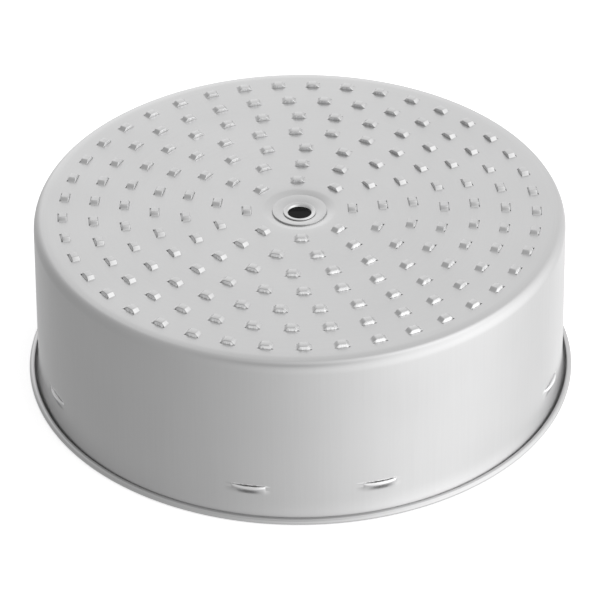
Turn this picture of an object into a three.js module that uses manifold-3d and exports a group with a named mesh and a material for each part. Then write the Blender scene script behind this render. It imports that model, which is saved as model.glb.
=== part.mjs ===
// Coffee urn filter basket, standing upside down on its curled rim.
// Millimetres, +Z up. The rim rests on z = 0, and the origin is at the centre of the rim's plane.
//
// Three pieces: a cup drawn from one sheet, with a pierced base and overflow louvres beside the rim,
// a stiffening washer in the dished centre of the base, and a rolled eyelet that clamps the two
// together and guides the stem that carries the basket.

import * as THREE from 'three';
import { mergeGeometries, mergeVertices } from 'three/addons/utils/BufferGeometryUtils.js';
import Module from 'manifold-3d';

const wasm = await Module();
wasm.setup();

// ---- driving dimensions ----

const sheet = 0.8; // thickness of the drawn sheet
const gap = 0.2; // clearance between pieces that touch

const cup = {
  height: 66, // outer face of the base above the rim's plane
  baseRadius: 95.9, // wall's outer radius just under the corner
  wallRadius: 96.4, // wall's outer radius just above the flare
  corner: 3.4, // outer radius of the corner between base and wall
  flareTop: 8, // height where the wall begins to flare out to the bead
  flareElbow: 3, // height where the flare turns outwards
  segments: 72, // facets round the cup
};

const bead = {
  radius: 1.2, // radius of the rolled section
  outerRadius: 100, // outermost radius of the rim
  grooveAngle: 127, // direction from the roll's centre to the groove where the wall meets it
  foot: 0.6, // width of the flat ring that the rim rests on
};

const dish = {
  outerRadius: 13.5, // where the base begins to dip
  innerRadius: 10.2, // foot of the first, steeper slope
  depth: 0.6, // drop over the first slope
  hubDepth: 2.6, // further drop if the second slope ran on to the axis
};

const lance = {
  length: 5.8, // along the ring
  width: 3.4, // across the ring
  rise: 1.5, // outer face of the strip above the base
  ramp: 1.4, // length of each sloping end
};

// Rings of lances from the centre outwards: how many, and the angle of the first one from -Y towards +X.
const rings = [
  { count: 8, turn: 1.9 },
  { count: 13, turn: 11.9 },
  { count: 18, turn: -3.5 },
  { count: 24, turn: 1.4 },
  { count: 29, turn: -6.2 },
  { count: 35, turn: -2.3 },
  { count: 41, turn: 0.8 },
];
const firstRingRadius = 19.1;
const ringPitch = 11.03;

const louvre = {
  length: 12, // around the wall
  height: 4.2, // from the cut edge down to where the bulge fades into the wall
  bulge: 1.8, // how far the cut edge stands out from the wall
  cutHeight: 14, // height of the cut edge above the rim's plane
  shear: 0.1, // how far the cut reaches past the bulge's own edge
  angles: [-65, -11, 16.5, 69], // on one half of the wall, from -Y towards +X; the other half repeats them
  segments: 12, // facets round the bulge
};

const washer = {
  outerRadius: 9.8,
  thickness: 0.5,
};

const eyelet = {
  boreRadius: 4.05,
  wall: 0.5,
  lipRadius: 5.9, // outer radius of the rolled lips above and below
  lipRound: 0.9, // radius of the turn from the bore into each lip
};

const hubSegments = 32; // facets round the washer, the eyelet and their hole

// ---- helpers ----

/** Point of a profile: x is the radius and y the height. */
function at(radius, height) {
  return new THREE.Vector2(radius, height);
}

/** Points of a circular arc in a profile, with angles in degrees from +radius towards +height. */
function arc(centre, radius, from, to, steps) {
  return Array.from({ length: steps + 1 }, (_, i) => {
    const angle = THREE.MathUtils.degToRad(from + ((to - from) * i) / steps);
    return at(centre.x + radius * Math.cos(angle), centre.y + radius * Math.sin(angle));
  });
}

/** Points of a smooth bend from one point of a profile to another, round an elbow. */
function bend(from, elbow, to, steps) {
  return new THREE.QuadraticBezierCurve(from, elbow, to).getPoints(steps);
}

/** Solid of revolution about +Z from a profile that starts and ends on the axis or closes on itself. */
function turned(profile, segments) {
  return new THREE.LatheGeometry(profile, segments).rotateX(Math.PI / 2);
}

/** Bare closed mesh: positions only, with shared corners merged. */
function welded(geometry) {
  const bare = geometry.index ? geometry.toNonIndexed() : geometry.clone();
  bare.deleteAttribute('normal');
  bare.deleteAttribute('uv');
  return mergeVertices(bare, 1e-5);
}

/** Solid for cutting and joining, from a closed geometry. */
function solid(geometry) {
  const mesh = welded(geometry);
  return new wasm.Manifold(
    new wasm.Mesh({
      numProp: 3,
      vertProperties: new Float32Array(mesh.attributes.position.array),
      triVerts: new Uint32Array(mesh.index.array),
    }),
  );
}

/** Geometry of a solid that has been cut or joined. */
function geometryOf(shape) {
  const mesh = shape.getMesh();
  const geometry = new THREE.BufferGeometry();
  geometry.setAttribute('position', new THREE.BufferAttribute(mesh.vertProperties, 3));
  geometry.setIndex(new THREE.BufferAttribute(mesh.triVerts, 1));
  const faceted = geometry.toNonIndexed();
  faceted.computeVertexNormals();
  return faceted;
}

/** Copy of a geometry made at the -Y side, turned about +Z by an angle in degrees. */
function turnedTo(geometry, angle) {
  return geometry.clone().rotateZ(THREE.MathUtils.degToRad(angle));
}

// ---- the cup ----

/** Profile of the plain cup: down the inside from the axis, round the bead and back up the outside. */
function cupProfile() {
  const dishFoot = cup.height - dish.depth;
  const dishBottom = dishFoot - dish.hubDepth;
  const cornerCentre = at(cup.baseRadius - cup.corner, cup.height - cup.corner);
  const beadCentre = at(bead.outerRadius - bead.radius, bead.radius);
  const foot = at(beadCentre.x - bead.foot, 0);
  const innerWall = at(cup.wallRadius - sheet, cup.flareTop);
  const innerElbow = at(innerWall.x, cup.flareElbow - sheet);
  const outerWall = at(cup.wallRadius, cup.flareTop);
  const outerElbow = at(outerWall.x, cup.flareElbow);
  const roll = arc(beadCentre, bead.radius, -90, bead.grooveAngle, 5);
  const groove = roll.at(-1);
  return [
    at(0, dishBottom - sheet),
    at(dish.innerRadius, dishFoot - sheet),
    at(dish.outerRadius, cup.height - sheet),
    ...arc(cornerCentre, cup.corner - sheet, 90, 0, 2),
    ...bend(innerWall, innerElbow, foot, 2),
    ...roll,
    ...bend(groove, outerElbow, outerWall, 2).slice(1),
    ...arc(cornerCentre, cup.corner, 0, 90, 4),
    at(dish.outerRadius, cup.height),
    at(dish.innerRadius, dishFoot),
    at(0, dishBottom),
  ];
}

/** Hole through the base for the eyelet. */
function hubHole() {
  const radius = eyelet.boreRadius + eyelet.wall + gap;
  const through = 12 * sheet;
  return new THREE.CylinderGeometry(radius, radius, through, hubSegments)
    .rotateX(Math.PI / 2)
    .translate(0, 0, cup.height);
}

/** Geometry made for one lance at the -Y side, from the outline of its section along the ring. */
function acrossRing(outline, radius) {
  return new THREE.ExtrudeGeometry(new THREE.Shape(outline), { depth: lance.width, bevelEnabled: false })
    .rotateX(Math.PI / 2)
    .translate(0, lance.width / 2 - radius, 0);
}

/** Slot that is cut through the base under a lance. */
function lanceSlot(radius) {
  const end = lance.length / 2;
  const under = cup.height - 2 * sheet;
  const over = cup.height + sheet;
  return acrossRing([at(-end, under), at(end, under), at(end, over), at(-end, over)], radius);
}

/** Strip of a lance, bent up out of the base, with both its long sides open. */
function lanceStrip(radius) {
  const end = lance.length / 2;
  const flat = end - lance.ramp;
  const outer = cup.height;
  const inner = cup.height - sheet;
  return acrossRing(
    [
      at(-end, inner),
      at(-flat, inner + lance.rise),
      at(flat, inner + lance.rise),
      at(end, inner),
      at(end, outer),
      at(flat, outer + lance.rise),
      at(-flat, outer + lance.rise),
      at(-end, outer),
    ],
    radius,
  );
}

/** One geometry with a copy of a lance feature at every place in every ring. */
function atEveryLance(feature) {
  const copies = rings.flatMap(({ count, turn }, ring) => {
    const first = welded(feature(firstRingRadius + ring * ringPitch));
    return Array.from({ length: count }, (_, i) => turnedTo(first, turn + (360 * i) / count));
  });
  return mergeGeometries(copies);
}

/** Lower half of a ball, stretched into the bulge of a louvre on the wall at the -Y side. */
function louvreBulge() {
  const centre = at(0, 0);
  return turned([...arc(centre, 1, -90, 0, 3), centre], louvre.segments)
    .scale(louvre.length / 2, louvre.bulge, louvre.height)
    .translate(0, -cup.wallRadius, louvre.cutHeight);
}

/** One geometry with a copy of a louvre feature at every place round the wall. */
function atEveryLouvre(feature) {
  const angles = louvre.angles.flatMap((angle) => [angle, angle + 180]);
  return mergeGeometries(angles.map((angle) => turnedTo(welded(feature), angle)));
}

/** Cup with its pierced base, raised lances, louvres and curled rim, as one formed sheet. */
function basketShell() {
  const bulge = louvreBulge();
  const hollow = bulge.clone().translate(0, sheet, louvre.shear);
  const cupWithLances = solid(turned(cupProfile(), cup.segments))
    .subtract(solid(atEveryLance(lanceSlot)))
    .add(solid(atEveryLance(lanceStrip)))
    .subtract(solid(hubHole()));
  return geometryOf(cupWithLances.add(solid(atEveryLouvre(bulge))).subtract(solid(atEveryLouvre(hollow))));
}

// ---- the hub ----

/** Height of the outer face of the dished base at a radius inside the dish. */
function dishHeight(radius) {
  const share = (dish.innerRadius - radius) / dish.innerRadius;
  return cup.height - dish.depth - share * dish.hubDepth;
}

/** Stiffening washer, lying in the dish and following its slope. */
function hubWasher() {
  const inner = eyelet.boreRadius + eyelet.wall + gap;
  const innerBottom = dishHeight(inner) + gap;
  const outerBottom = dishHeight(washer.outerRadius) + gap;
  return turned(
    [
      at(inner, innerBottom),
      at(washer.outerRadius, outerBottom),
      at(washer.outerRadius, outerBottom + washer.thickness),
      at(inner, innerBottom + washer.thickness),
      at(inner, innerBottom),
    ],
    hubSegments,
  );
}

/** Rolled eyelet: a short barrel with a lip over the washer and another under the base. */
function hubEyelet() {
  const barrel = eyelet.boreRadius + eyelet.wall;
  const round = eyelet.lipRound;
  const turnCentre = eyelet.boreRadius + round;
  const upper = dishHeight(eyelet.lipRadius) + gap + washer.thickness + gap;
  const lower = dishHeight(barrel) - sheet - gap;
  const top = upper + eyelet.wall;
  const bottom = lower - eyelet.wall;
  return turned(
    [
      ...arc(at(turnCentre, top - round), round, 90, 180, 4),
      ...arc(at(turnCentre, bottom + round), round, 180, 270, 4),
      at(eyelet.lipRadius, bottom),
      at(eyelet.lipRadius, lower),
      at(barrel, lower),
      at(barrel, upper),
      at(eyelet.lipRadius, upper),
      at(eyelet.lipRadius, top),
      at(turnCentre, top),
    ],
    hubSegments,
  );
}

// ---- the assembly ----

const drawnAluminium = new THREE.MeshStandardMaterial({ color: 0xc8c9cb, roughness: 0.38, metalness: 1 });
const washerMetal = new THREE.MeshStandardMaterial({ color: 0xcdcdce, roughness: 0.32, metalness: 1 });
const eyeletMetal = new THREE.MeshStandardMaterial({ color: 0xd4d4d5, roughness: 0.25, metalness: 1 });

/** Mesh with its piece's name. */
function piece(name, geometry, material) {
  const mesh = new THREE.Mesh(geometry, material);
  mesh.name = name;
  return mesh;
}

const basket = new THREE.Group();
basket.add(piece('basket_shell', basketShell(), drawnAluminium));
basket.add(piece('hub_washer', hubWasher(), washerMetal));
basket.add(piece('hub_eyelet', hubEyelet(), eyeletMetal));

export default basket;
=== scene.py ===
"""Looks of a coffee urn filter basket that stands upside down on its curled rim.

Shapes are worked out in millimetres in the CAD part's own frame and become metres when a mesh is made:
+Z up, the rim's plane at z = 0, the rim's centre at the origin, -Y towards the camera. Angles about +Z are
in degrees from -Y towards +X.
"""

import math

import bmesh
import bpy
import numpy as np
from mathutils import Matrix, Vector
from mathutils.geometry import delaunay_2d_cdt


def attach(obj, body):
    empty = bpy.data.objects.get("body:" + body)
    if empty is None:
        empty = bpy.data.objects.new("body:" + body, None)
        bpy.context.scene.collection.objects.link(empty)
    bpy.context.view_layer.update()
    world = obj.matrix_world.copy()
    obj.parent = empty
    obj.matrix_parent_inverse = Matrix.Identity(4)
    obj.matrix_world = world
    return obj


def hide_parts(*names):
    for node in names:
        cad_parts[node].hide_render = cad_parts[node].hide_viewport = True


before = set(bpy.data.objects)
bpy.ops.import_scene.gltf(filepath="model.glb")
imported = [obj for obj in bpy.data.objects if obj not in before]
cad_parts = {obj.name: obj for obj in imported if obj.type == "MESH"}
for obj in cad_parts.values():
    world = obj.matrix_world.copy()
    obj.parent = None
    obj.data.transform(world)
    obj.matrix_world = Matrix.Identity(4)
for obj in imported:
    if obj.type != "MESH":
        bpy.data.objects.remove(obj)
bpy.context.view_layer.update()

METRES = 0.001

# ---- dimensions of the CAD part, in millimetres ----

SHEET = 0.8

CUP_HEIGHT = 66.0
WALL_RADIUS = 96.4
FLARE_TOP = 8.0

BEAD_RADIUS = 1.2
RIM_RADIUS = 100.0

DISH_OUTER_RADIUS = 13.5
DISH_INNER_RADIUS = 10.2
DISH_DEPTH = 0.6
HUB_DEPTH = 2.6

LANCE_LENGTH = 5.8
LANCE_WIDTH = 3.4
RINGS = [(8, 1.9), (13, 11.9), (18, -3.5), (24, 1.4), (29, -6.2), (35, -2.3), (41, 0.8)]  # count, first angle
FIRST_RING_RADIUS = 19.1
RING_PITCH = 11.03

LOUVRE_LENGTH = 12.0
LOUVRE_HEIGHT = 4.2
LOUVRE_CUT_HEIGHT = 14.0
LOUVRE_ANGLES = [16.5, 69, 115, 169, 196.5, 249, 295, 349]

WASHER_RADIUS = 9.8
WASHER_THICKNESS = 0.5

BORE_RADIUS = 4.05
EYELET_WALL = 0.5
LIP_RADIUS = 5.9
LIP_ROUND = 0.9

# ---- dimensions that only the looks have, or that differ from the CAD part's ----

CLAMP_GAP = 0.05  # between the base, the washer and the eyelet's lips
HOLE_GAP = 0.2  # between the eyelet's barrel and the holes round it

SHOULDER_RADIUS = 90.4  # where the base begins to fall gently towards the corner
SHOULDER_FALL = 0.2  # height of that fall
CORNER_START = 92.5
CORNER_WIDTH = 3.25
CORNER_HEIGHT = 4.2

LANCE_RISE = 1.2  # 1.5 in the CAD part
RAMP = 1.7  # length of a lance's rising end
CUT_GAP = 0.06  # between a lance and the sides of its slot
ROLL = 0.3  # width of the soft edge that shearing leaves along a lance
OUTER_LEAN = 0.4  # how far a lance's outer side leans in towards its top
INNER_LEAN = 0.05  # the same at its inner side
OUTER_DRAW = 0.36  # how far the shear draws a lance's outer edge down
INNER_DRAW = 0.5  # the same at its inner edge
COLLAR = 0.7  # flat border round a slot in the mesh

LOUVRE_BULGE = 1.3  # 1.8 in the CAD part
LIP_SHARE = 0.55  # share of its bulge that a louvre has at its cut edge
LIP_HEIGHT = 0.9  # height of the lip where it grows to the whole bulge
LIP_DROP = 0.25  # height of the slot over a louvre's cut edge

CURL_HOLLOW = BEAD_RADIUS - SHEET  # radius inside the rolled rim
WASHER_BREAK = 0.12  # size of the worn edge of the washer

STEPS_ROUND = 288  # columns round the cup, apart from those through the louvres
HUB_STEPS = 128  # columns round the hub


# ---- mesh helpers ----


def smooth(x):
    """0 below 0, 1 above 1, and a smooth rise between."""
    x = np.clip(x, 0, 1)
    return x * x * (3 - 2 * x)


def arc(centre, width, height, start, end, steps):
    """Points (radius, height) along an arc of an ellipse, with angles from +radius towards +height."""
    angles = np.radians(np.linspace(start, end, steps + 1))
    return np.column_stack([centre[0] + width * np.cos(angles), centre[1] + height * np.sin(angles)])


def round_arc(centre, radius, start, end, steps):
    """Points (radius, height) along an arc of a circle."""
    return arc(centre, radius, radius, start, end, steps)


def bend(start, elbow, end, steps):
    """Points of a smooth bend from start to end, round an elbow."""
    t = np.linspace(0, 1, steps + 1)[:, None]
    return (1 - t) ** 2 * np.array(start) + 2 * t * (1 - t) * np.array(elbow) + t**2 * np.array(end)


def round_axis(radius, height, angles):
    """Grid of points on circles about +Z, from radii and heights that have a row for each circle."""
    radius, height, angles = np.broadcast_arrays(radius, height, np.radians(angles)[None, :])
    return np.stack([radius * np.sin(angles), -radius * np.cos(angles), height], axis=-1)


def turned(profile, angles):
    """Grid of points: each (radius, height) of a profile turned to every angle."""
    radius, height = np.array(profile, float).T[:, :, None]
    return round_axis(radius, height, angles)


def turn_about_z(points, angle):
    """Points made at the -Y side, turned about +Z by an angle."""
    c, s = math.cos(math.radians(angle)), math.sin(math.radians(angle))
    return points @ np.array([[c, s, 0], [-s, c, 0], [0, 0, 1]])


class Skin:
    """Collects patches of a surface and joins them into one mesh where their edges meet.

    Every point has a share, from 0 on drawn sheet to 1, that the material mixes towards near-white: fresh cut
    metal, with painted highlight on the cut faces and louvre lips that face the light.
    """

    def __init__(self):
        self.points = []
        self.cut_and_highlight = []
        self.faces = []
        self.count = 0

    def add(self, points, faces, cut_and_highlight=0.0):
        """Adds loose faces over a list of points."""
        points = np.reshape(points, (-1, 3))
        self.points.append(points)
        self.cut_and_highlight.append(np.broadcast_to(np.ravel(cut_and_highlight), len(points)))
        self.faces += (np.array(faces) + self.count).tolist()
        self.count += len(points)

    def add_grid(self, grid, cut_and_highlight=0.0):
        """Adds a grid of points as rows and columns of four-sided faces."""
        rows, columns = grid.shape[:2]
        first = (np.arange(rows - 1)[:, None] * columns + np.arange(columns - 1)).ravel()
        self.add(grid, np.column_stack([first, first + 1, first + columns + 1, first + columns]), cut_and_highlight)

    def object(self, name, sharp_angle):
        """Makes the mesh object, facing outwards, with the edges over sharp_angle degrees sharp."""
        mesh = bpy.data.meshes.new(name)
        mesh.from_pydata((np.concatenate(self.points) * METRES).tolist(), [], self.faces)
        share = mesh.attributes.new("cut_and_highlight", "FLOAT", "POINT")
        share.data.foreach_set("value", np.concatenate(self.cut_and_highlight).astype(np.float32))
        shape = bmesh.new()
        shape.from_mesh(mesh)
        bmesh.ops.remove_doubles(shape, verts=shape.verts, dist=2e-6)
        bmesh.ops.dissolve_degenerate(shape, edges=shape.edges, dist=1e-7)
        bmesh.ops.recalc_face_normals(shape, faces=shape.faces)
        shape.to_mesh(mesh)
        shape.free()
        mesh.shade_smooth()
        mesh.set_sharp_from_angle(angle=math.radians(sharp_angle))
        made = bpy.data.objects.new(name, mesh)
        bpy.context.scene.collection.objects.link(made)
        return made


# ---- the lances of the base ----


def lance_along():
    """Places along a lance where its mesh has a column."""
    return LANCE_LENGTH / 2 * np.linspace(-1, 1, 25)


def lance_across():
    """(places across a lance where its mesh has a row, how far the rolled edge has fallen there)."""
    steps = np.radians(np.linspace(90, 0, 6))
    inset = ROLL * (1 - np.sin(steps))
    fall = ROLL * 1.1 * (1 - np.cos(steps))
    half = LANCE_WIDTH / 2
    across = np.concatenate([-half + inset, [0], (half - inset)[::-1]])
    return across, np.concatenate([fall, [0], fall[::-1]])


def lance_strip():
    """(top, bottom) grids of a lance's strip: x along its ring, y towards the centre, z from the base up."""
    along = lance_along()
    across, fall = lance_across()
    rise = LANCE_RISE * smooth((LANCE_LENGTH / 2 - np.abs(along)) / RAMP)
    raised = smooth(rise / 0.3)
    clear = 1 - CUT_GAP / (LANCE_WIDTH / 2) * smooth(rise / 0.15)
    draw = np.interp(across, [-LANCE_WIDTH / 2, 0, LANCE_WIDTH / 2], [OUTER_DRAW, 0, INNER_DRAW])
    x = along + 0 * across[:, None]
    y = across[:, None] * clear
    lean = np.interp(across, [-LANCE_WIDTH / 2, 0, LANCE_WIDTH / 2], [OUTER_LEAN, 0, -INNER_LEAN])
    top = np.stack([x, y + lean[:, None] * raised, rise - fall[:, None] * raised], axis=-1)
    bottom = np.stack([x, y, rise - SHEET - draw[:, None] * raised], axis=-1)
    return top, bottom


def lance_patches():
    """(grid, share of cut metal and painted highlight) for each face of a lance and of the sides of its slot.
    """
    top, bottom = lance_strip()
    along = lance_along()
    raised = smooth(top[len(top) // 2, :, 2] / LANCE_RISE)
    _, fall = lance_across()
    # painted highlight: the near-white of the cut face spreads onto the last of the rolled edge
    rolled_edge_highlight = (fall / fall.max())[:, None] ** 6 * raised
    patches = [(top, rolled_edge_highlight), (bottom, 0.0)]
    # painted light and shade: both sides are cut alike, but the outer cut face is brightened fully and the
    # inner one only 0.2
    for edge, share in ((0, 1.0), (-1, 0.2)):
        side = np.stack([top[edge], bottom[edge]])
        patches.append((side, share * np.stack([raised, raised])))
    for side in (-LANCE_WIDTH / 2, LANCE_WIDTH / 2):
        slot_edge = np.stack([along, np.full_like(along, side), 0 * along], axis=-1)
        patches.append((np.stack([slot_edge, slot_edge - [0, 0, SHEET]]), 0.0))
    return patches


def lance_collar():
    """Flat collar round a lance's slot, as rows of closed loops from the slot outwards."""
    along = lance_along()
    across = lance_across()[0]
    half = LANCE_WIDTH / 2
    inner = across[1:-1]
    loop = np.concatenate(
        [
            np.column_stack([along, np.full_like(along, -half)]),
            np.column_stack([np.full_like(inner, along[-1]), inner]),
            np.column_stack([along[::-1], np.full_like(along, half)]),
            np.column_stack([np.full_like(inner, along[0]), inner[::-1]]),
            [(along[0], -half)],
        ]
    )
    outwards = loop / [LANCE_LENGTH / 2, half]
    rows = [loop + outwards * COLLAR * share for share in (0, 0.15, 1)]
    return np.stack([np.column_stack([row, np.zeros(len(row))]) for row in rows])


def lance_places():
    """(radius, angle) of every lance."""
    for ring, (count, first) in enumerate(RINGS):
        for i in range(count):
            yield FIRST_RING_RADIUS + ring * RING_PITCH, first + 360 * i / count


# ---- the cup ----


def dish_height(radius):
    """Height of the outer face of the base at a radius inside the dish."""
    radius = np.asarray(radius, float)
    width = DISH_OUTER_RADIUS - DISH_INNER_RADIUS
    inner_slope = HUB_DEPTH / DISH_INNER_RADIUS
    power = inner_slope * width / DISH_DEPTH
    dip = DISH_DEPTH * np.clip((DISH_OUTER_RADIUS - radius) / width, 0, 1) ** power
    return CUP_HEIGHT - dip - inner_slope * np.clip(DISH_INNER_RADIUS - radius, 0, None)


def column_angles():
    """Angles of the columns round the cup, closer together through every louvre, and closing on the first."""
    plain = np.linspace(0, 360, STEPS_ROUND, endpoint=False)
    half = math.degrees(LOUVRE_LENGTH / 2 / WALL_RADIUS)
    louvre = half * np.sin(np.linspace(-1, 1, 29) * math.pi / 2)
    for centre in LOUVRE_ANGLES:
        plain = plain[np.abs(plain - centre) > half + 0.5]
    columns = np.sort(np.concatenate([plain] + [centre + louvre for centre in LOUVRE_ANGLES]))
    return np.append(columns, columns[0] + 360)


def flat_base(outer_ring, inner_ring):
    """(points, triangles) of the flat base between two rings of points, with a hole for every lance."""
    border = lance_collar()[-1, :-1]
    loops = [outer_ring, inner_ring]
    for radius, angle in lance_places():
        loops.append(turn_about_z(border - [0, radius, 0], angle))
    points = [Vector(point[:2]) for point in np.concatenate(loops)]
    loop_of_point = np.repeat(np.arange(len(loops)), [len(loop) for loop in loops])
    edges = []
    for loop in range(len(loops)):
        numbers = np.flatnonzero(loop_of_point == loop)
        edges += zip(numbers.tolist(), np.roll(numbers, -1).tolist())
    inside_outer_ring = 1
    flat, _, triangles, sources, *_ = delaunay_2d_cdt(points, edges, [], inside_outer_ring, 1e-5, True)
    source = np.array([first[0] for first in sources])
    triangles = np.array(triangles)
    corners = loop_of_point[source[triangles]]
    in_hole = (corners == corners[:, :1]).all(axis=1) & (corners[:, 0] > 0)
    return np.array([[point.x, point.y, 0] for point in flat]), triangles[~in_hole]


def add_base(skin, angles):
    """Both faces of the flat base, and its lances."""
    hub_angles = np.linspace(0, 360, HUB_STEPS + 1)[:-1]
    outer_ring = turned([(SHOULDER_RADIUS, 0)], angles[:-1])[0]
    inner_ring = turned([(DISH_OUTER_RADIUS, 0)], hub_angles)[0]
    points, triangles = flat_base(outer_ring, inner_ring)
    collar = lance_collar()
    patches = lance_patches() + [(collar, 0.0), (collar - [0, 0, SHEET], 0.0)]
    for level in (CUP_HEIGHT, CUP_HEIGHT - SHEET):
        skin.add(points + [0, 0, level], triangles)
    for radius, angle in lance_places():
        for grid, cut_and_highlight in patches:
            skin.add_grid(turn_about_z(grid + [0, -radius, CUP_HEIGHT], angle), cut_and_highlight)


def add_dish(skin):
    """Both faces of the dish at the centre, and the hole for the eyelet."""
    angles = np.linspace(0, 360, HUB_STEPS + 1)
    hole = BORE_RADIUS + EYELET_WALL + HOLE_GAP
    radii = np.concatenate([np.linspace(DISH_OUTER_RADIUS, DISH_INNER_RADIUS, 12), [8, hole]])
    outer = np.column_stack([radii, dish_height(radii)])
    inner = outer - [0, SHEET]
    for profile in (outer, inner, [outer[-1], inner[-1]]):
        skin.add_grid(turned(profile, angles))


def add_wall(skin, angles):
    """Both faces of the corner and of the wall down to the louvres."""
    corner_top = CUP_HEIGHT - SHOULDER_FALL - CORNER_HEIGHT
    centre = (CORNER_START, corner_top)
    wall_end = (WALL_RADIUS, LOUVRE_CUT_HEIGHT + 3)
    tilt = 5  # degrees that the corner's arc has already turned where the shoulder meets it
    outer = arc(centre, CORNER_WIDTH, CORNER_HEIGHT, 90 - tilt, 0, 14)
    inner = arc(centre, CORNER_WIDTH - SHEET, CORNER_HEIGHT - SHEET, 90 - tilt, 0, 14)
    shoulder = bend((SHOULDER_RADIUS, CUP_HEIGHT), (SHOULDER_RADIUS + 0.9, CUP_HEIGHT), outer[0], 4)[:-1]
    for corner, inset in ((outer, 0), (inner, SHEET)):
        corner_foot = np.array([corner[-1], np.array(wall_end) - [inset, 0]])
        wall = corner_foot[0] + np.linspace(0, 1, 6)[1:, None] * (corner_foot[1] - corner_foot[0])
        profile = np.concatenate([shoulder - [0, inset], corner, wall])
        skin.add_grid(turned(profile, angles))


def louvre_swell(heights, angles):
    """How far the wall stands out at every height and angle below the louvres' cut."""
    down = (LOUVRE_CUT_HEIGHT - np.array(heights))[:, None]
    profile = (LIP_SHARE + (1 - LIP_SHARE) * smooth(down / LIP_HEIGHT)) * (1 - smooth(down / LOUVRE_HEIGHT))
    swell = np.zeros((len(heights), len(angles)))
    for centre in LOUVRE_ANGLES:
        away = np.radians(angles - centre)[None, :] * WALL_RADIUS / (LOUVRE_LENGTH / 2)
        swell += LOUVRE_BULGE * np.clip(1 - away**2, 0, 1) ** 0.75 * profile
    return swell


def add_louvres(skin, angles):
    """Both faces of the band of wall that holds the louvres, and the cut edges of the louvres."""
    cut = LOUVRE_CUT_HEIGHT
    upper = np.linspace(cut + 3, cut, 6)
    lip = np.linspace(0, LIP_HEIGHT, 7)[:-1]
    lower = cut - np.concatenate([lip, np.linspace(LIP_HEIGHT, LOUVRE_HEIGHT, 12)])
    swell = louvre_swell(lower, angles)
    # painted highlight: the louvre lips near the cut are mixed towards near-white
    lip_highlight = smooth(1.3 - (cut - lower) / LIP_HEIGHT)[:, None] * (swell[:1] > 0)
    drop = LIP_DROP * swell[0] / swell[0].max()
    heights = lower[:, None] - drop * (1 - smooth((cut - lower) / LIP_HEIGHT))[:, None]
    for radius in (WALL_RADIUS, WALL_RADIUS - SHEET):
        skin.add_grid(round_axis(radius, upper[:, None], angles))
        skin.add_grid(round_axis(radius + swell, heights, angles), lip_highlight)
    half = math.degrees(LOUVRE_LENGTH / 2 / WALL_RADIUS) + 1e-6
    both_faces = np.array([[WALL_RADIUS], [WALL_RADIUS - SHEET]])
    for centre in LOUVRE_ANGLES:
        columns = np.abs(angles - centre) <= half
        for edge_swell, edge_drop in ((swell[0, columns], drop[columns]), (0.0, 0.0)):
            # the louvres' cut edges are mixed fully towards near-white: fresh cut metal and painted highlight
            skin.add_grid(round_axis(both_faces + edge_swell, cut - edge_drop, angles[columns]), 1.0)


def add_rim(skin, angles):
    """Both faces of the flare, and the curl that rolls outwards and up from it."""
    bead = np.array([RIM_RADIUS - BEAD_RADIUS, BEAD_RADIUS])
    band_foot = LOUVRE_CUT_HEIGHT - LOUVRE_HEIGHT
    inner_wall = WALL_RADIUS - SHEET
    outer = np.concatenate(
        [
            [(WALL_RADIUS, band_foot)],
            bend((WALL_RADIUS, FLARE_TOP), (WALL_RADIUS + 0.1, 2.6), bead + [-0.75, 0.05], 10),
            round_arc(bead, CURL_HOLLOW, 200, 480, 16),
        ]
    )
    inner = np.concatenate(
        [
            [(inner_wall, band_foot)],
            bend((inner_wall, FLARE_TOP), (inner_wall + 0.1, 1.4), bead + [-0.55, -1.07], 10),
            round_arc(bead, BEAD_RADIUS, 262, 480, 26),
        ]
    )
    for profile in (outer, inner, [outer[-1], inner[-1]]):
        skin.add_grid(turned(profile, angles))


def drawn_cup():
    """Cup drawn from one sheet: pierced and dished base, corner, wall with louvres, flare and curled rim."""
    skin = Skin()
    angles = column_angles()
    add_base(skin, angles)
    add_dish(skin)
    add_wall(skin, angles)
    add_louvres(skin, angles)
    add_rim(skin, angles)
    return skin.object("drawn_cup", 38)


# ---- the hub ----


def hub_piece(name, profile):
    """Turned piece of the hub, from a closed profile."""
    skin = Skin()
    skin.add_grid(turned(profile, np.linspace(0, 360, HUB_STEPS + 1)))
    return skin.object(name, 40)


def stiffening_washer():
    """Coned washer that lies in the dish, with its outer edges worn round."""
    inner = BORE_RADIUS + EYELET_WALL + HOLE_GAP
    rows = [
        (inner, 0),
        (inner, WASHER_THICKNESS),
        (WASHER_RADIUS - WASHER_BREAK, WASHER_THICKNESS),
        (WASHER_RADIUS - WASHER_BREAK / 3, WASHER_THICKNESS - WASHER_BREAK / 3),
        (WASHER_RADIUS, WASHER_THICKNESS - WASHER_BREAK),
        (WASHER_RADIUS, 0),
        (inner, 0),
    ]
    profile = [(radius, dish_height(radius) + CLAMP_GAP + above) for radius, above in rows]
    return hub_piece("stiffening_washer", profile)


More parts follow.
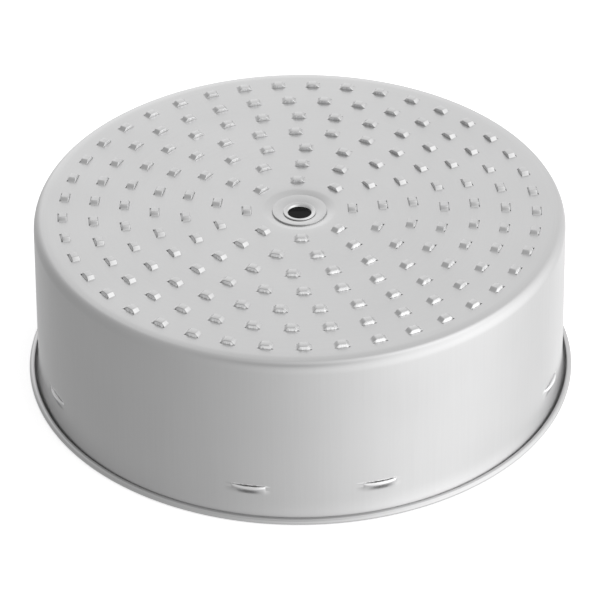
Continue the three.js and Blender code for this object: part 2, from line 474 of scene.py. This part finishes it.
def rolled_eyelet():
    """Eyelet whose lips follow the cone, one over the washer and one under the base."""
    slope = HUB_DEPTH / DISH_INNER_RADIUS
    tilt = math.degrees(math.atan(slope))
    to_level = 1 / math.cos(math.radians(tilt))
    barrel = BORE_RADIUS + EYELET_WALL
    turn = BORE_RADIUS + LIP_ROUND
    half = EYELET_WALL / 2 / to_level
    edge = LIP_RADIUS - half
    under_lip = CLAMP_GAP + WASHER_THICKNESS + CLAMP_GAP  # all four above dish_height
    top = under_lip + EYELET_WALL
    over_lip = -SHEET - CLAMP_GAP
    bottom = over_lip - EYELET_WALL
    upper_turn = (turn, dish_height(turn) + top - LIP_ROUND * to_level)
    lower_turn = (turn, dish_height(turn) + bottom + LIP_ROUND * to_level)
    upper_edge = (edge, dish_height(edge) + (top + under_lip) / 2)
    lower_edge = (edge, dish_height(edge) + (bottom + over_lip) / 2)
    profile = np.concatenate(
        [
            round_arc(upper_turn, LIP_ROUND, 90 + tilt, 180, 12),
            round_arc(lower_turn, LIP_ROUND, 180, 270 + tilt, 12),
            round_arc(lower_edge, half, -90 + tilt, 90 + tilt, 8),
            [(barrel, dish_height(barrel) + over_lip), (barrel, dish_height(barrel) + under_lip)],
            round_arc(upper_edge, half, -90 + tilt, 90 + tilt, 8),
        ]
    )
    return hub_piece("rolled_eyelet", np.concatenate([profile, profile[:1]]))


# ---- materials ----


class Graph:
    """Short ways to add and link the nodes of a tree."""

    def __init__(self, tree):
        self.tree = tree

    def node(self, kind, **settings):
        """New shader node, with its settings."""
        made = self.tree.nodes.new("ShaderNode" + kind)
        for name, value in settings.items():
            setattr(made, name, value)
        return made

    def feed(self, socket, value):
        """Links an output to a socket, or sets a plain value on it."""
        if isinstance(value, bpy.types.NodeSocket):
            self.tree.links.new(value, socket)
        else:
            socket.default_value = value

    def math(self, operation, *values, clamp=False):
        """Output of a Math node."""
        made = self.node("Math", operation=operation, use_clamp=clamp)
        for socket, value in zip(made.inputs, values):
            self.feed(socket, value)
        return made.outputs[0]

    def vector(self, operation, *values):
        """Output of a Vector Math node: a number for a length or a dot product, otherwise a vector."""
        made = self.node("VectorMath", operation=operation)
        for socket, value in zip(made.inputs, values):
            self.feed(socket, value)
        return made.outputs["Value" if operation in ("LENGTH", "DOT_PRODUCT") else "Vector"]

    def noise(self, coordinate, scale, detail=3.0):
        """Noise between about 0.2 and 0.8."""
        made = self.node("TexNoise")
        for name, value in (("Vector", coordinate), ("Scale", scale), ("Detail", detail)):
            self.feed(made.inputs[name], value)
        return made.outputs["Fac"]

    def between(self, share, low, high):
        """Number that goes from low to high as the share goes from 0 to 1."""
        made = self.node("MapRange", clamp=True)
        for name, value in (("Value", share), ("To Min", low), ("To Max", high)):
            self.feed(made.inputs[name], value)
        return made.outputs["Result"]

    def colour(self, share, low, high):
        """Colour that goes from low to high, each (red, green, blue), as the share goes from 0 to 1."""
        made = self.node("Mix", data_type="RGBA", clamp_factor=True)
        self.feed(made.inputs["Factor"], share)
        for name, value in (("A", low), ("B", high)):
            socket = next(s for s in made.inputs if s.name == name and s.type == "RGBA")
            self.feed(socket, value if isinstance(value, bpy.types.NodeSocket) else (*value, 1))
        return next(s for s in made.outputs if s.type == "RGBA")


def grey(level):
    """Colour of bare aluminium at a level of brightness."""
    return (level, level, level * 1.003)


def metal(name, level, spread, roughness, lines):
    """Bare metal: level and spread of its brightness, roughness, and depth in metres of its tool lines.

    Faces that look along the axis carry fine rings left by spinning, and the wall carries upright drawing
    lines. Both are broken up by a fine grain and a slow unevenness. Cut faces and louvre lips are mixed
    towards near-white: partly fresh cut metal, partly painted highlight where they face the light.
    """
    made = bpy.data.materials.new(name)
    made.use_nodes = True
    graph = Graph(made.node_tree)
    shader = made.node_tree.nodes["Principled BSDF"]
    shader.inputs["Metallic"].default_value = 1.0

    place = graph.node("TexCoord").outputs["Object"]
    facing = graph.node("NewGeometry").outputs["Normal"]
    cut_and_highlight = graph.node("Attribute", attribute_name="cut_and_highlight").outputs["Fac"]

    flat = graph.vector("MULTIPLY", place, (1, 1, 0))
    outwards = graph.vector("NORMALIZE", flat)
    radius = graph.vector("LENGTH", flat)
    radius_only = graph.node("CombineXYZ")
    graph.feed(radius_only.inputs["Z"], radius)
    little_height = graph.vector("MULTIPLY", place, (0, 0, 0.02))
    ring_place = graph.vector("MULTIPLY_ADD", outwards, (0.002, 0.002, 0), radius_only.outputs[0])
    line_place = graph.vector("MULTIPLY_ADD", outwards, (0.096, 0.096, 0), little_height)

    rings = graph.noise(ring_place, 2600)
    upright = graph.noise(line_place, 1500)
    level_face = graph.math("ABSOLUTE", graph.vector("DOT_PRODUCT", facing, (0, 0, 1)))
    tool_lines = graph.between(level_face, upright, rings)
    grain = graph.noise(place, 3500, 2.0)
    slow = graph.noise(place, 28, 2.0)

    pattern = graph.math("ADD", graph.math("MULTIPLY", tool_lines, 0.35), graph.math("MULTIPLY", grain, 0.15))
    pattern = graph.math("ADD", pattern, graph.math("MULTIPLY", slow, 0.5))
    drawn = graph.colour(pattern, grey(level - spread), grey(level + spread))
    # painted highlight: cut faces and louvre lips mixed towards near-white grey(0.97), partly fresh cut metal
    graph.feed(shader.inputs["Base Color"], graph.colour(cut_and_highlight, drawn, grey(0.97)))
    drawn_roughness = graph.between(pattern, roughness + 0.06, roughness - 0.06)
    graph.feed(shader.inputs["Roughness"], graph.between(cut_and_highlight, drawn_roughness, 0.34))

    bump = graph.node("Bump")
    bump.inputs["Strength"].default_value = 1.0
    bump.inputs["Distance"].default_value = lines
    graph.feed(bump.inputs["Height"], graph.math("ADD", tool_lines, graph.math("MULTIPLY", grain, 0.6)))
    graph.feed(shader.inputs["Normal"], bump.outputs["Normal"])
    return made


# ---- floor, light, camera ----


def direction(azimuth, elevation):
    """Unit vector towards an azimuth and an elevation."""
    a, e = math.radians(azimuth), math.radians(elevation)
    return Vector((math.cos(e) * math.sin(a), -math.cos(e) * math.cos(a), math.sin(e)))


AMBIENT = 0.32
KEY_LIGHT = (70, 0, 1.2, 1.3)  # each light is azimuth, elevation, sharpness, brightness
TOP_LIGHT = (95, 60, 14, 0.6)
BACK_LIGHT = (190, 15, 8, 0.7)
LOW_LIGHT = (162, -40, 12, 0.5)
DARK_SCREEN = (0, 50, 14, -0.3)


def studio_world():
    """Surrounding studio: an even dim light, and large soft lights and a dark area that fade smoothly."""
    world = bpy.data.worlds.new("studio")
    world.use_nodes = True
    graph = Graph(world.node_tree)
    towards = graph.node("TexCoord").outputs["Generated"]
    total = AMBIENT
    for light in (KEY_LIGHT, TOP_LIGHT, BACK_LIGHT, LOW_LIGHT, DARK_SCREEN):
        azimuth, elevation, sharpness, brightness = light
        closeness = graph.vector("DOT_PRODUCT", towards, direction(azimuth, elevation))
        fade = graph.math("EXPONENT", graph.math("MULTIPLY_ADD", closeness, sharpness, -sharpness))
        total = graph.math("MULTIPLY_ADD", fade, brightness, total)
    background = world.node_tree.nodes["Background"]
    background.inputs["Color"].default_value = (1, 1, 1, 1)
    graph.feed(background.inputs["Strength"], total)
    bpy.context.scene.world = world


def matt(name, level, glow):
    """Matt grey of a level of brightness, with some light of its own."""
    made = bpy.data.materials.new(name)
    made.use_nodes = True
    shader = made.node_tree.nodes["Principled BSDF"]
    shader.inputs["Base Color"].default_value = (level, level, level, 1)
    shader.inputs["Roughness"].default_value = 0.9
    shader.inputs["Emission Color"].default_value = (1, 1, 1, 1)
    shader.inputs["Emission Strength"].default_value = glow
    return made


def pale_floor():
    """Bright floor that the metal doesn't mirror, and a dark patch under the basket: painted shade that keeps
    the basket's inside dark, as the shaded floor under it would be.
    """
    bpy.ops.mesh.primitive_plane_add(size=6)
    floor = bpy.context.object
    floor.name = "floor"
    floor.visible_glossy = False
    floor.data.materials.append(matt("pale_floor", 0.95, 0.5))
    # the dark patch is painted shade: a dark sheet where the floor under the basket would only be in shadow
    bpy.ops.mesh.primitive_circle_add(vertices=96, radius=0.0985, fill_type="NGON", location=(0, 0, 0.0001))
    patch = bpy.context.object
    patch.name = "floor_under_basket"
    patch.data.materials.append(matt("painted_shade_patch", 0.2, 0.02))


def add_camera():
    """Long lens, looking down at the basket from the front."""
    elevation, distance, roll = 34.45, 1.338, -0.377
    target = Vector((0, 0, 0.038))
    data = bpy.data.cameras.new("camera")
    data.lens = 220.45
    data.sensor_width = 36
    data.shift_y = -0.0443
    data.clip_start = 0.1
    camera = bpy.data.objects.new("camera", data)
    bpy.context.scene.collection.objects.link(camera)
    back = direction(0, elevation)
    camera.matrix_world = (
        Matrix.Translation(target + back * distance)
        @ back.to_track_quat("Z", "Y").to_matrix().to_4x4()
        @ Matrix.Rotation(math.radians(roll), 4, "Z")
    )
    bpy.context.scene.camera = camera
    bpy.context.scene.view_settings.view_transform = "Standard"


# ---- the scene ----

PIECES = [  # shape, CAD node that it replaces, material slot, (level, spread, roughness, depth of tool lines)
    (drawn_cup, "basket_shell", "drawn_aluminium", (0.62, 0.04, 0.3, 1.5e-6)),
    (stiffening_washer, "hub_washer", "washer_aluminium", (0.62, 0.03, 0.3, 2e-6)),
    (rolled_eyelet, "hub_eyelet", "eyelet_metal", (0.67, 0.03, 0.22, 1e-6)),
]

for shape, node, slot, finish in PIECES:
    piece = shape()
    piece.data.materials.append(metal(slot, *finish))
    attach(piece, "root")
    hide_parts(node)

studio_world()
pale_floor()
add_camera()
